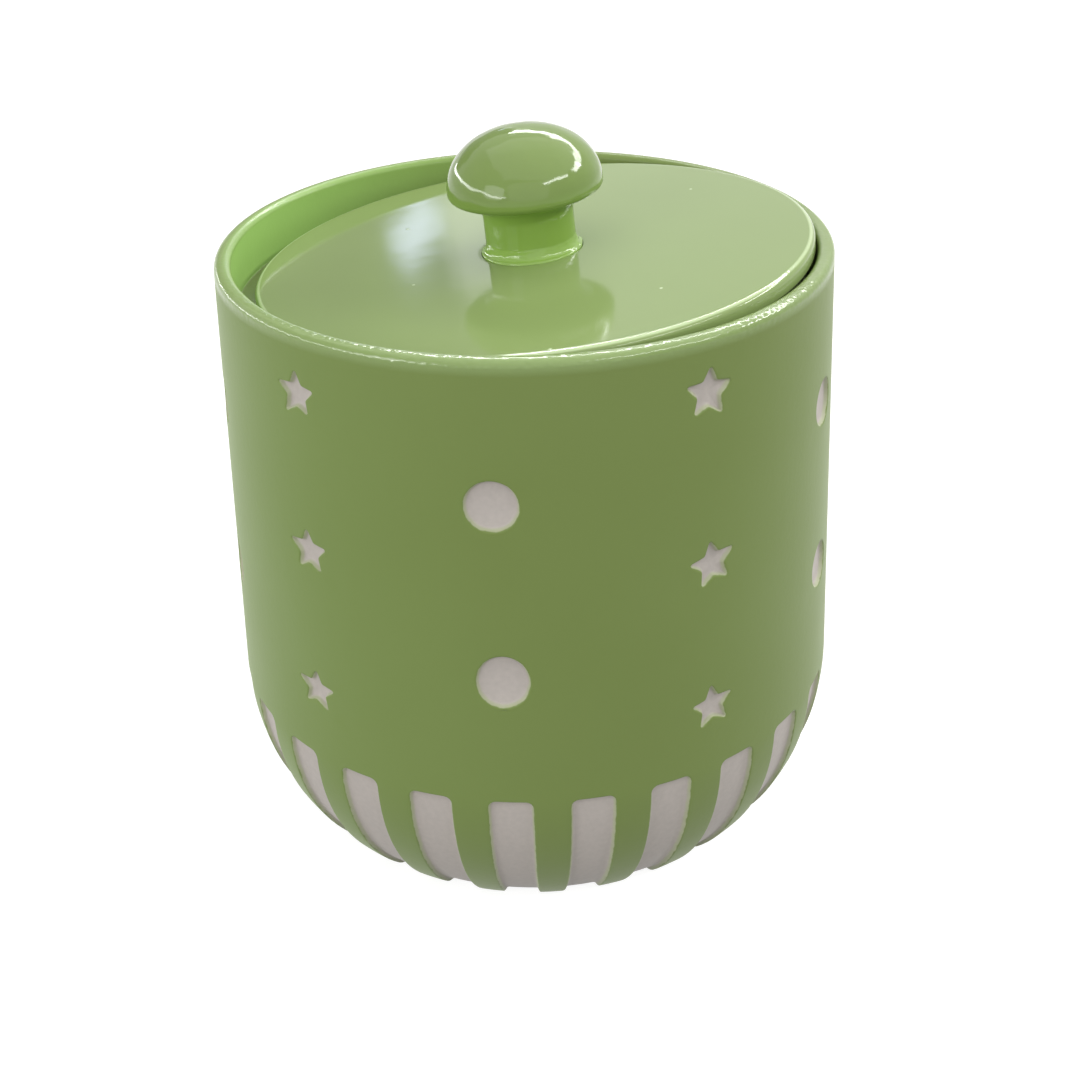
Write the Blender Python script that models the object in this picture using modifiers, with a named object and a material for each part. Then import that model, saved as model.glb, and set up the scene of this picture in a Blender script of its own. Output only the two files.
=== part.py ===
# Storage jar: a round cast jar with recessed stars, dots and stripes, and a flat lid with a
# mushroom knob. The lid lies askew in the mouth: one side of it is down on the ledge, and on
# the other side its locating ring has caught on the ledge's edge.
# The origin is the middle of the foot, +Z is up, and the front of the jar faces -Y.
# Azimuths are measured from the front towards +X. Lengths are in metres.

import math

import bmesh
import bpy
from mathutils import Matrix, Vector

MM = 0.001
MERGE = 0.01 * MM                 # vertices of a turned shape that meet are merged
GAP = 0.3 * MM                    # clearance between pieces that rest on each other
OVERRUN = 2 * MM                  # how far a cutter stands out of the surface that it cuts

# Jar, outside
JAR_HEIGHT = 103.8 * MM
RIM_RADIUS = 50 * MM
WALL_FLARE_SHARE = 0.035          # the wall gets wider by this share of the way down
FOOT_RADIUS = 39.8 * MM
CORNER_START = 29.1 * MM          # height where the wall turns in to the foot
CORNER_SWEEP = math.radians(54)   # part of the quarter ellipse that the foot cuts off
FOOT_ROUNDING = 3 * MM
FOOT_RING_WIDTH = 5 * MM
FOOT_HOLLOW = 1.2 * MM            # depth of the hollow inside the foot ring

# Jar, mouth and inside
RIM_WALL = 2.7 * MM
RIM_OUTER_ROUNDING = 1.1 * MM
RIM_INNER_ROUNDING = 0.9 * MM
LEDGE_DEPTH = 8.7 * MM            # below the rim
LEDGE_WIDTH = 4.25 * MM
LEDGE_ROUNDING = 0.5 * MM
BORE_DRAFT_SHARE = 0.014          # the bore narrows by this share of the way down
BORE_ROUNDING = 12 * MM
FLOOR_THICKNESS = 7 * MM

# Decoration, sunk into the wall
RECESS_DEPTH = 0.8 * MM
MOTIF_COLUMNS = 10                # columns of stars and of dots by turns
MOTIF_TURN = math.radians(-5.2)   # azimuth of the dot column at the front
STAR_RADIUS = 3.9 * MM
STAR_WAIST_SHARE = 0.48           # inner corners of a star, as a share of its radius
STAR_POINTS = 5
STAR_ROW_SHARES = (0.1195, 0.488, 0.834)   # down the plain wall, from rim to stripes
DOT_ROW_SHARES = (0.299, 0.6955)
DOT_RADIUS = 4.05 * MM
STRIPE_COUNT = 25
STRIPE_TOP = 29.6 * MM            # height of the stripes' upper ends
STRIPE_TOP_WIDTH = 7 * MM
STRIPE_FOOT_WIDTH = 5.8 * MM
STRIPE_ROUNDING = 1.3 * MM

# Lid
LID_PLAY = 1.7 * MM               # round the lid when it lies in the middle of the mouth
LID_THICKNESS = 3 * MM
LID_TOP_ROUNDING = 1 * MM
LID_UNDER_ROUNDING = 0.5 * MM
RING_PLAY = 0.8 * MM              # between the locating ring and the ledge's edge
RING_HEIGHT = 4.7 * MM
RING_WIDTH = 3 * MM
RING_ROUNDING = 0.6 * MM
LID_UPHILL = math.radians(82)     # azimuth of the raised side

# Knob, heights above the lid's top
KNOB_HEIGHT = 20.1 * MM
CAP_RADIUS = 12.6 * MM
CAP_EDGE_HEIGHT = 10.5 * MM       # where the cap is widest
CAP_FULLNESS = 2.1                # exponent of the dome's outline, 2 is an ellipse
CAP_LIP_WIDTH = 2.5 * MM
CAP_LIP_DROP = 1.4 * MM
NECK_RADIUS = 7.35 * MM
NECK_TOP = 5.9 * MM
NECK_FLARE_WIDTH = 0.9 * MM
NECK_FLARE_HEIGHT = 1.9 * MM
NECK_BASE_HEIGHT = 0.3 * MM
SEAT_DEPTH = 0.8 * MM             # shallow seat in the lid that hides the glued joint
SPIGOT_RADIUS = 3.2 * MM

# Faceting
JAR_FACETS = 72
LID_FACETS = 60
KNOB_FACETS = 36
FILLET_STEPS = 3
CORNER_STEPS = 7
DOME_STEPS = 9
LIP_STEPS = 4
DOT_FACETS = 20
REST_ROUNDS = 40                  # rounds in which the lid's tilt settles

# Worked out from the above
BELLY_RADIUS = RIM_RADIUS + WALL_FLARE_SHARE * (JAR_HEIGHT - CORNER_START)
CORNER_WIDTH = (BELLY_RADIUS - FOOT_RADIUS) / (1 - math.cos(CORNER_SWEEP))
CORNER_RISE = CORNER_START / math.sin(CORNER_SWEEP)
MOUTH_RADIUS = RIM_RADIUS - RIM_WALL
LEDGE_RADIUS = MOUTH_RADIUS - LEDGE_WIDTH
LEDGE_HEIGHT = JAR_HEIGHT - LEDGE_DEPTH
BORE_FOOT_RADIUS = LEDGE_RADIUS - BORE_DRAFT_SHARE * (LEDGE_HEIGHT - FLOOR_THICKNESS)
FOOT_RING_RADIUS = FOOT_RADIUS - FOOT_RING_WIDTH
LID_RADIUS = MOUTH_RADIUS - LID_PLAY
LID_UNDER_RADIUS = LID_RADIUS - LID_UNDER_ROUNDING
RING_RADIUS = LEDGE_RADIUS - RING_PLAY
KNOB_BASE_RADIUS = NECK_RADIUS + NECK_FLARE_WIDTH


def lid_rest():
    """Tilt, shift and lift of the lid where it lies askew in the mouth.

    It has slid to one side until it meets the mouth. Its low edge is on the ledge, and its
    ring's foot lies on the edge of the ledge at two places, one on each side of the slope.
    """
    bore = LEDGE_RADIUS - GAP
    tilt = 0
    for _ in range(REST_ROUNDS):
        reach = (LID_RADIUS * math.cos(tilt)
                 + (LID_THICKNESS - LID_UNDER_ROUNDING) * math.sin(tilt))
        shift = MOUTH_RADIUS - GAP - reach
        foot_shift = shift + (LID_THICKNESS + RING_HEIGHT) * math.sin(tilt)
        caught = (bore ** 2 - RING_RADIUS ** 2 - foot_shift ** 2) / (2 * foot_shift)
        caught = max(-RING_RADIUS, min(RING_RADIUS, caught))
        tilt = math.atan2(RING_HEIGHT, LID_UNDER_RADIUS + caught)
    lift = GAP + LID_UNDER_RADIUS * math.sin(tilt) + LID_THICKNESS * math.cos(tilt)
    return tilt, shift, lift


def outer_radius(height):
    """Radius of the jar's outside at a height."""
    drop = CORNER_START - height
    if drop <= 0:
        return RIM_RADIUS + WALL_FLARE_SHARE * (JAR_HEIGHT - height)
    return BELLY_RADIUS - CORNER_WIDTH * (1 - math.sqrt(1 - (drop / CORNER_RISE) ** 2))


def outer_normal(height):
    """Outward direction of the jar's outside at a height, as (radial, up)."""
    drop = CORNER_START - height
    if drop <= 0:
        return Vector((1, WALL_FLARE_SHARE)).normalized()
    across = math.sqrt(1 - (drop / CORNER_RISE) ** 2)
    return Vector((across / CORNER_WIDTH, -drop / CORNER_RISE ** 2)).normalized()


def outward(azimuth):
    """Level direction away from the jar's axis."""
    return Vector((math.sin(azimuth), -math.cos(azimuth), 0))


def rounded(corners, steps=FILLET_STEPS):
    """Outline through corners (across, up, radius), each rounded to its radius."""
    outline = []
    for index, (across, up, radius) in enumerate(corners):
        corner = Vector((across, up))
        if radius == 0:
            outline.append(corner)
            continue
        before = Vector(corners[index - 1][:2]) - corner
        after = Vector(corners[(index + 1) % len(corners)][:2]) - corner
        half_angle = before.angle(after) / 2
        centre = corner + (before.normalized() + after.normalized()).normalized() \
            * radius / math.sin(half_angle)
        reach = radius / math.tan(half_angle)
        start = corner + before.normalized() * reach - centre
        end = corner + after.normalized() * reach - centre
        outline += [centre + radius * start.slerp(end, step / steps)
                    for step in range(steps + 1)]
    return outline


def ellipse(across, up, half_width, half_height, start, end, steps, fullness=2):
    """Stretch of an ellipse, or of a fuller superellipse, between two angles in degrees."""
    outline = []
    for step in range(steps + 1):
        angle = math.radians(start + (end - start) * step / steps)
        cosine, sine = math.cos(angle), math.sin(angle)
        outline.append(Vector((
            across + half_width * math.copysign(abs(cosine) ** (2 / fullness), cosine),
            up + half_height * math.copysign(abs(sine) ** (2 / fullness), sine))))
    return outline


def finish(name, colour, roughness):
    """Principled material from an sRGB hex colour."""
    material = bpy.data.materials.new(name)
    material.use_nodes = True
    shader = material.node_tree.nodes["Principled BSDF"]
    channels = [int(colour[place:place + 2], 16) / 255 for place in (0, 2, 4)]
    linear = [c / 12.92 if c <= 0.04045 else ((c + 0.055) / 1.055) ** 2.4 for c in channels]
    shader.inputs["Base Color"].default_value = (*linear, 1)
    shader.inputs["Roughness"].default_value = roughness
    shader.inputs["Coat Weight"].default_value = 1
    return material


def place(name, mesh, collection, material):
    """New object for a mesh, in a collection and with its material."""
    item = bpy.data.objects.new(name, mesh)
    item.data.materials.append(material)
    collection.objects.link(item)
    return item


def turned(name, outline, facets, collection, material, closed=False):
    """Solid turned from an outline that runs down its outer side."""
    shape = bmesh.new()
    verts = [shape.verts.new((point.x, 0, point.y)) for point in outline]
    for first, second in zip(verts, verts[1:]):
        shape.edges.new((first, second))
    if closed:
        shape.edges.new((verts[-1], verts[0]))
    mesh = bpy.data.meshes.new(name)
    shape.to_mesh(mesh)
    shape.free()
    item = place(name, mesh, collection, material)
    screw = item.modifiers.new("Turn", "SCREW")
    screw.axis = "Z"
    screw.angle = 2 * math.pi
    screw.steps = screw.render_steps = facets
    screw.use_merge_vertices = True
    screw.merge_threshold = MERGE
    screw.use_smooth_shade = True
    return item


def cutter(name, shape, collection, material):
    """Object that cuts another: a bmesh made into a mesh and shown as wires."""
    mesh = bpy.data.meshes.new(name)
    shape.to_mesh(mesh)
    shape.free()
    item = place(name, mesh, collection, material)
    item.hide_render = True
    item.display_type = "WIRE"
    return item


def cut(item, tool):
    """Sinks a cutter into a piece, whose new faces take the cutter's paint."""
    sink = item.modifiers.new(tool.name, "BOOLEAN")
    sink.operation = "DIFFERENCE"
    sink.solver = "EXACT"
    sink.material_mode = "TRANSFER"
    sink.object = tool


def plug(shape, sides, radius, waist, matrix):
    """Adds a flat prism that sinks a motif: a circle, or a star where the waist is narrower."""
    ring = bmesh.ops.create_circle(shape, cap_ends=True, segments=sides, radius=radius)["verts"]
    for index, vert in enumerate(ring):
        turn = 2 * math.pi * index / sides
        reach = waist if index % 2 else radius
        vert.co = (reach * math.sin(turn), reach * math.cos(turn), -RECESS_DEPTH)
    face = ring[0].link_faces[0]
    top = bmesh.ops.extrude_face_region(shape, geom=[face], use_keep_orig=True)["geom"]
    lifted = [part for part in top if isinstance(part, bmesh.types.BMVert)]
    bmesh.ops.translate(shape, verts=lifted, vec=(0, 0, RECESS_DEPTH + OVERRUN))
    bmesh.ops.transform(shape, matrix=matrix, verts=ring + lifted)


def on_wall(azimuth, height):
    """Place on the outside of the wall: X to the right, Y up the wall, Z outwards."""
    normal = outer_normal(height)
    out = outward(azimuth) * normal.x + Vector((0, 0, normal.y))
    right = Vector((math.cos(azimuth), math.sin(azimuth), 0))
    matrix = Matrix((right, out.cross(right), out)).transposed().to_4x4()
    matrix.translation = outward(azimuth) * outer_radius(height) + Vector((0, 0, height))
    return matrix


def motif_cutter(collection, paint):
    """Plugs for the stars and dots, in columns by turns round the jar."""
    star = (2 * STAR_POINTS, STAR_RADIUS, STAR_RADIUS * STAR_WAIST_SHARE)
    dot = (DOT_FACETS, DOT_RADIUS, DOT_RADIUS)
    shape = bmesh.new()
    for column in range(MOTIF_COLUMNS):
        azimuth = MOTIF_TURN + 2 * math.pi * column / MOTIF_COLUMNS
        motif, row_shares = (star, STAR_ROW_SHARES) if column % 2 else (dot, DOT_ROW_SHARES)
        for share in row_shares:
            height = JAR_HEIGHT - share * (JAR_HEIGHT - STRIPE_TOP)
            plug(shape, *motif, on_wall(azimuth, height))
    bmesh.ops.recalc_face_normals(shape, faces=shape.faces[:])
    return cutter("motif_plugs", shape, collection, paint)


def stripe_rows():
    """Heights down a stripe, each with what its rounded end takes off the half width."""
    rows = []
    for step in range(FILLET_STEPS + 1):
        turn = math.pi / 2 * step / FILLET_STEPS
        rows.append((STRIPE_TOP - STRIPE_ROUNDING * (1 - math.cos(turn)),
                     STRIPE_ROUNDING * (1 - math.sin(turn))))
    start = math.asin((CORNER_START - rows[-1][0]) / CORNER_RISE)
    end = math.asin((CORNER_START + OVERRUN) / CORNER_RISE)
    for step in range(1, CORNER_STEPS + 2):
        turn = start + (end - start) * step / (CORNER_STEPS + 1)
        rows.append((CORNER_START - CORNER_RISE * math.sin(turn), 0))
    return rows


def stripe_cutter(collection, paint):
    """Curved slabs that sink the stripes, from the wall round the corner and out at the foot."""
    rows = stripe_rows()
    shape = bmesh.new()
    bmesh.ops.create_grid(shape, x_segments=2, y_segments=len(rows) - 1, size=1)
    top_radius = outer_radius(STRIPE_TOP)
    for vert in shape.verts:
        height, pinch = rows[round((1 - vert.co.y) / 2 * (len(rows) - 1))]
        radius = outer_radius(height)
        fade = (radius - FOOT_RADIUS) / (top_radius - FOOT_RADIUS)
        width = STRIPE_FOOT_WIDTH + (STRIPE_TOP_WIDTH - STRIPE_FOOT_WIDTH) * fade
        azimuth = MOTIF_TURN + vert.co.x * (width / 2 - pinch) / radius
        vert.co = outward(azimuth) * radius + Vector((0, 0, height))
    pitch = 2 * math.pi / STRIPE_COUNT
    bmesh.ops.spin(shape, geom=shape.verts[:] + shape.edges[:] + shape.faces[:],
                   axis=(0, 0, 1), cent=(0, 0, 0), angle=pitch * (STRIPE_COUNT - 1),
                   steps=STRIPE_COUNT - 1, use_duplicate=True)
    item = cutter("stripe_slabs", shape, collection, paint)
    slab = item.modifiers.new("Slab", "SOLIDIFY")
    slab.thickness = RECESS_DEPTH + OVERRUN
    slab.offset = (OVERRUN - RECESS_DEPTH) / (OVERRUN + RECESS_DEPTH)
    return item


def jar_outline():
    corner = [(outer_radius(height), height, 0)
              for height in (CORNER_START - CORNER_RISE * math.sin(CORNER_SWEEP * step / CORNER_STEPS)
                             for step in range(CORNER_STEPS))]
    inside = rounded([(0, FLOOR_THICKNESS, 0),
                      (BORE_FOOT_RADIUS, FLOOR_THICKNESS, BORE_ROUNDING),
                      (LEDGE_RADIUS, LEDGE_HEIGHT, 0)], steps=CORNER_STEPS)[:-1]
    mouth = rounded([(inside[-1].x, inside[-1].y, 0),
                     (LEDGE_RADIUS, LEDGE_HEIGHT, LEDGE_ROUNDING),
                     (MOUTH_RADIUS, LEDGE_HEIGHT, 0),
                     (MOUTH_RADIUS, JAR_HEIGHT, RIM_INNER_ROUNDING),
                     (RIM_RADIUS, JAR_HEIGHT, RIM_OUTER_ROUNDING),
                     *corner,
                     (FOOT_RADIUS, 0, FOOT_ROUNDING),
                     (FOOT_RING_RADIUS, 0, 0),
                     (FOOT_RING_RADIUS - FOOT_HOLLOW, FOOT_HOLLOW, 0),
                     (0, FOOT_HOLLOW, 0)])[1:]
    return inside + mouth


def jar_body(collection, material, tools):
    item = turned("jar_body", jar_outline(), JAR_FACETS, collection, material)
    for tool in tools:
        cut(item, tool)


def lid(collection, carrier, material):
    hole_radius = SPIGOT_RADIUS + GAP
    seat_radius = KNOB_BASE_RADIUS + GAP
    ring_foot = -LID_THICKNESS - RING_HEIGHT
    outline = rounded([(hole_radius, -SEAT_DEPTH, 0),
                       (seat_radius, -SEAT_DEPTH, 0),
                       (seat_radius, 0, 0),
                       (LID_RADIUS, 0, LID_TOP_ROUNDING),
                       (LID_RADIUS, -LID_THICKNESS, LID_UNDER_ROUNDING),
                       (RING_RADIUS, -LID_THICKNESS, 0),
                       (RING_RADIUS, ring_foot, RING_ROUNDING),
                       (RING_RADIUS - RING_WIDTH, ring_foot, RING_ROUNDING),
                       (RING_RADIUS - RING_WIDTH, -LID_THICKNESS, RING_ROUNDING),
                       (hole_radius, -LID_THICKNESS, 0)])
    item = turned("lid", outline, LID_FACETS, collection, material, closed=True)
    item.parent = carrier


def knob(collection, carrier, material):
    base_height = GAP - SEAT_DEPTH
    flare_top = NECK_BASE_HEIGHT + NECK_FLARE_HEIGHT
    lip_centre = CAP_RADIUS - CAP_LIP_WIDTH
    lip_foot = CAP_EDGE_HEIGHT - CAP_LIP_DROP
    outline = ellipse(0, CAP_EDGE_HEIGHT, CAP_RADIUS, KNOB_HEIGHT - CAP_EDGE_HEIGHT,
                      90, 0, DOME_STEPS, CAP_FULLNESS)
    outline += ellipse(lip_centre, CAP_EDGE_HEIGHT, CAP_LIP_WIDTH, CAP_LIP_DROP,
                       0, -90, LIP_STEPS)[1:]
    outline += ellipse(lip_centre, NECK_TOP, lip_centre - NECK_RADIUS, lip_foot - NECK_TOP,
                       90, 180, LIP_STEPS)[1:]
    outline += ellipse(KNOB_BASE_RADIUS, flare_top, NECK_FLARE_WIDTH, NECK_FLARE_HEIGHT,
                       180, 270, FILLET_STEPS)
    outline += [Vector((KNOB_BASE_RADIUS, base_height)),
                Vector((SPIGOT_RADIUS, base_height)),
                Vector((SPIGOT_RADIUS, -LID_THICKNESS)),
                Vector((0, -LID_THICKNESS))]
    item = turned("knob", outline, KNOB_FACETS, collection, material)
    item.parent = carrier


def lid_carrier(collection):
    """Empty at the middle of the lid's top, shifted and tilted as the lid lies in the mouth."""
    carrier = bpy.data.objects.new("lid_carrier", None)
    uphill = outward(LID_UPHILL)
    tilt, shift, lift = lid_rest()
    carrier.location = uphill * shift + Vector((0, 0, LEDGE_HEIGHT + lift))
    turn = Matrix.Rotation(tilt, 3, uphill.cross(Vector((0, 0, 1))))
    carrier.rotation_euler = turn.to_euler()
    collection.objects.link(carrier)
    return carrier


def build():
    for item in list(bpy.data.objects):
        bpy.data.objects.remove(item, do_unlink=True)
    pieces = bpy.data.collections.new("Storage jar")
    cutters = bpy.data.collections.new("Cutters")
    for collection in (pieces, cutters):
        bpy.context.scene.collection.children.link(collection)
    body_lacquer = finish("lime_lacquer_body", "90B560", 0.35)
    lid_lacquer = finish("lime_lacquer_lid", "98BC68", 0.12)
    knob_lacquer = finish("lime_lacquer_knob", "94B862", 0.12)
    white_paint = finish("white_recess_paint", "E9E6E0", 0.5)
    jar_body(pieces, body_lacquer, [motif_cutter(cutters, white_paint),
                                    stripe_cutter(cutters, white_paint)])
    carrier = lid_carrier(pieces)
    lid(pieces, carrier, lid_lacquer)
    knob(pieces, carrier, knob_lacquer)


build()
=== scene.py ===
# Green lacquered storage jar with sunk white stars, dots and stripes, its lid lying askew.
# Shapes are worked out in millimetres and made metres when a piece is finished.
# Azimuths start at the front of the jar (-Y) and grow towards +X.

import bisect
import math
import random

import bmesh
import bpy
from mathutils import Matrix, Vector


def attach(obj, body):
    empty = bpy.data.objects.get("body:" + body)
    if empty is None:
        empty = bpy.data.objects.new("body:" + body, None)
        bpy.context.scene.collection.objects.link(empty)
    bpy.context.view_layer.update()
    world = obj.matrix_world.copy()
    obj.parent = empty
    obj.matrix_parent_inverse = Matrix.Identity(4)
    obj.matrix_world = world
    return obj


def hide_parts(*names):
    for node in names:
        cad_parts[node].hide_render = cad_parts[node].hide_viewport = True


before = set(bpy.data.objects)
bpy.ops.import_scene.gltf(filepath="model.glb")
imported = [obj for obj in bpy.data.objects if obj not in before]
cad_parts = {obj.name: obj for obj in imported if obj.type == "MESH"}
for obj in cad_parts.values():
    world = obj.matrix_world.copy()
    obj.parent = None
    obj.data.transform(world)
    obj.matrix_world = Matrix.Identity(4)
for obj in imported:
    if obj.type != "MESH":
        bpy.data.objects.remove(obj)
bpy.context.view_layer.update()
chance = random.Random(7)
millimetre = 0.001
weldReach = 0.002                # mm between points that are made one
print("frame: loaded", sorted(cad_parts))


def hexColour(code):
    channels = [int(code[i:i + 2], 16) / 255 for i in (0, 2, 4)]
    return tuple(c / 12.92 if c <= 0.04045 else ((c + 0.055) / 1.055) ** 2.4 for c in channels) + (1,)


def addNode(tree, kind, settings=None, links=None):  # settings: sockets or properties; links: sockets
    node = tree.nodes.new(kind)
    for name, value in (settings or {}).items():
        if isinstance(name, int) or name in node.inputs:
            node.inputs[name].default_value = value
        else:
            setattr(node, name, value)
    for name, source in (links or {}).items():
        tree.links.new(source, node.inputs[name])
    return node


def patternScale(pitch):  # a texture's Scale, in repeats per metre, from its real pitch in mm
    return 1000 / pitch


def outward(azimuth, radius=1.0, height=0.0):
    return Vector((math.sin(azimuth) * radius, -math.cos(azimuth) * radius, height))


def softCorners(corners, steps):  # outline through (across, up, radius), each corner an arc
    outline = []
    for i, (across, up, radius) in enumerate(corners):
        corner = Vector((across, up))
        if not radius:
            outline.append(corner)
            continue
        before = (Vector(corners[i - 1][:2]) - corner).normalized()
        after = (Vector(corners[(i + 1) % len(corners)][:2]) - corner).normalized()
        half = before.angle(after) / 2
        centre = corner + (before + after).normalized() * radius / math.sin(half)
        start = corner + before * radius / math.tan(half) - centre
        end = corner + after * radius / math.tan(half) - centre
        outline += [centre + start.slerp(end, k / steps) * radius for k in range(steps + 1)]
    return outline


def ellipseArc(across, up, halfWidth, halfHeight, start, end, steps, fullness=2):
    outline = []
    for k in range(steps + 1):
        angle = math.radians(start + (end - start) * k / steps)
        c, s = math.cos(angle), math.sin(angle)
        outline.append(Vector((across + halfWidth * math.copysign(abs(c) ** (2 / fullness), c),
                               up + halfHeight * math.copysign(abs(s) ** (2 / fullness), s))))
    return outline


def spunOutline(outline, steps):  # a bmesh turned all the way round Z from an outline
    bm = bmesh.new()
    row = bm.verts.layers.int.new("row")
    verts = []
    for k, point in enumerate(outline):
        verts.append(bm.verts.new(outward(0, point.x, point.y)))
        verts[-1][row] = k
    edges = [bm.edges.new(pair) for pair in zip(verts, verts[1:])]
    bmesh.ops.spin(bm, geom=verts + edges, cent=(0, 0, 0), axis=(0, 0, 1), angle=2 * math.pi,
                   steps=steps, use_merge=True, use_duplicate=False)
    return bm


def meshObject(name, bm, material):
    mesh = bpy.data.meshes.new(name)
    bm.to_mesh(mesh)
    bm.free()
    mesh.materials.append(material)
    item = bpy.data.objects.new(name, mesh)
    bpy.context.scene.collection.objects.link(item)
    return item


def finishPiece(name, bm, material, body, node, place=None):
    bmesh.ops.remove_doubles(bm, verts=bm.verts[:], dist=weldReach)  # closes the poles
    bmesh.ops.recalc_face_normals(bm, faces=bm.faces[:])
    bmesh.ops.transform(bm, matrix=Matrix.Scale(millimetre, 4), verts=bm.verts[:])
    if place is not None:
        bmesh.ops.transform(bm, matrix=place, verts=bm.verts[:])
    for face in bm.faces:
        face.smooth = True
    piece = meshObject(name, bm, material)
    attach(piece, body)
    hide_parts(node)
    print("piece:", name, sum(len(p.vertices) - 2 for p in piece.data.polygons), "triangles")


# shares that all three lacquers have in common
lacquer = {
    "roughSpread": 0.15,         # how far the film's patches vary in roughness
    "nibCore": 0.3,              # how much of a dust nib is its flat middle
}


def lacquerFinish(name, look, painted=False):
    material = bpy.data.materials.new(name)
    material.use_nodes = True
    tree = material.node_tree
    shader = tree.nodes["Principled BSDF"]
    shader.inputs["IOR"].default_value = look["ior"]
    shader.inputs["Coat Weight"].default_value = look["coat"]
    shader.inputs["Coat Roughness"].default_value = look["coatRoughness"]
    where = addNode(tree, "ShaderNodeTexCoord").outputs["Object"]

    # broad patches where the sprayed film is a little thicker and deeper in colour
    film = addNode(tree, "ShaderNodeTexNoise", {"Scale": patternScale(look["filmPatch"]), "Detail": 2.0},
                   {"Vector": where})
    colour = addNode(tree, "ShaderNodeMix", {"data_type": "RGBA", 6: hexColour(look["thin"]),
                                             7: hexColour(look["deep"])}, {0: film.outputs["Fac"]})
    colour = colour.outputs[2]
    shares = {}
    # painted light: tints mixed in by attribute, lighter and greener where light falls or bounces, and paler
    # edges as painted highlights
    for attribute in ("paintedLightTint", "beadsAndPaintedHighlight"):
        shares[attribute] = addNode(tree, "ShaderNodeAttribute", {"attribute_name": attribute}).outputs["Fac"]
        colour = addNode(tree, "ShaderNodeMix", {"data_type": "RGBA", 7: hexColour(look[attribute])},
                         {0: shares[attribute], 6: colour}).outputs[2]

    # dust nibs under the film: rare pale grains on a coarse cell pattern
    cells = addNode(tree, "ShaderNodeTexVoronoi", {
        "voronoi_dimensions": look["nibSpread"], "Scale": patternScale(look["nibSpacing"])},
                    {"Vector": where})
    nib = addNode(tree, "ShaderNodeMapRange", {
        "interpolation_type": "SMOOTHSTEP", "From Min": look["nibSize"] / look["nibSpacing"],
        "From Max": lacquer["nibCore"] * look["nibSize"] / look["nibSpacing"]},
                  {"Value": cells.outputs["Distance"]})
    colour = addNode(tree, "ShaderNodeMix", {"data_type": "RGBA", 7: hexColour(look["nib"])},
                     {0: nib.outputs["Result"], 6: colour}).outputs[2]

    # orange peel of the sprayed film, slow waves where it sagged, which bend what it mirrors, and
    # beads where it drew together over an edge
    peel = addNode(tree, "ShaderNodeTexNoise", {"Scale": patternScale(look["peelPitch"]), "Detail": 1.0},
                   {"Vector": where})
    heights = addNode(tree, "ShaderNodeMath", {"operation": "MULTIPLY_ADD", 1: look["nibRise"]},
                      {0: nib.outputs["Result"], 2: peel.outputs["Fac"]}).outputs[0]
    sag = addNode(tree, "ShaderNodeTexNoise", {"Scale": patternScale(look["sagPitch"]), "Detail": 1.0},
                  {"Vector": where})
    heights = addNode(tree, "ShaderNodeMath", {"operation": "MULTIPLY_ADD", 1: look["sagRise"]},
                      {0: sag.outputs["Fac"], 2: heights}).outputs[0]
    beads = addNode(tree, "ShaderNodeTexNoise", {"Scale": patternScale(look["beadPitch"]), "Detail": 0.0},
                    {"Vector": where}).outputs["Fac"]
    beads = addNode(tree, "ShaderNodeMath", {"operation": "MULTIPLY"}, {0: beads, 1: shares["beadsAndPaintedHighlight"]})
    heights = addNode(tree, "ShaderNodeMath", {"operation": "MULTIPLY_ADD", 1: look["beadRise"]},
                      {0: beads.outputs[0], 2: heights}).outputs[0]
    rough = addNode(tree, "ShaderNodeMapRange", {"To Min": look["roughness"] * (1 - lacquer["roughSpread"]),
                                                 "To Max": look["roughness"] * (1 + lacquer["roughSpread"])},
                    {"Value": film.outputs["Fac"]}).outputs["Result"]
    if painted:
        gloss = addNode(tree, "ShaderNodeMapRange", {"To Min": look["coat"], "To Max": look["rimCoat"]},
                        {"Value": shares["beadsAndPaintedHighlight"]}).outputs["Result"]
        colour, rough, heights, gloss = whiteFill(tree, where, colour, rough, heights, gloss)
        tree.links.new(gloss, shader.inputs["Coat Weight"])
    bump = addNode(tree, "ShaderNodeBump", {"Strength": 1.0, "Distance": look["peelDepth"] * millimetre},
                   {"Height": heights})
    tree.links.new(colour, shader.inputs["Base Color"])
    tree.links.new(rough, shader.inputs["Roughness"])
    tree.links.new(bump.outputs["Normal"], shader.inputs["Normal"])
    tree.links.new(bump.outputs["Normal"], shader.inputs["Coat Normal"])
    return material


# White fill paint brushed into the sunk motifs by hand: matt, a little thin and greenish where it
# creeps up the lip, with faint brush marks on the floor and a wavering edge.
whitePaint = {
    "colour": "B8B1AB", "thinColour": "A6AB8C", "shade": "AAA39E", "roughness": 0.5,
    "edgeWaver": 0.16,    # mm that the edge wanders
    "waverPitch": 1.6,    # mm from one waver to the next
    "brushPitch": 0.9,    # mm between brush marks, real ones are finer and wouldn't show
    "brushRise": 1.6,     # height of a brush mark, as a multiple of the wall's orange peel
    # mm outside the motif's edge, with the waver: where the paint begins and is whole, and where
    # it begins to thicken and is thick
    "begin": 0.2, "whole": 0.06, "thicken": 0.1, "thick": -0.35,
}


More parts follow.
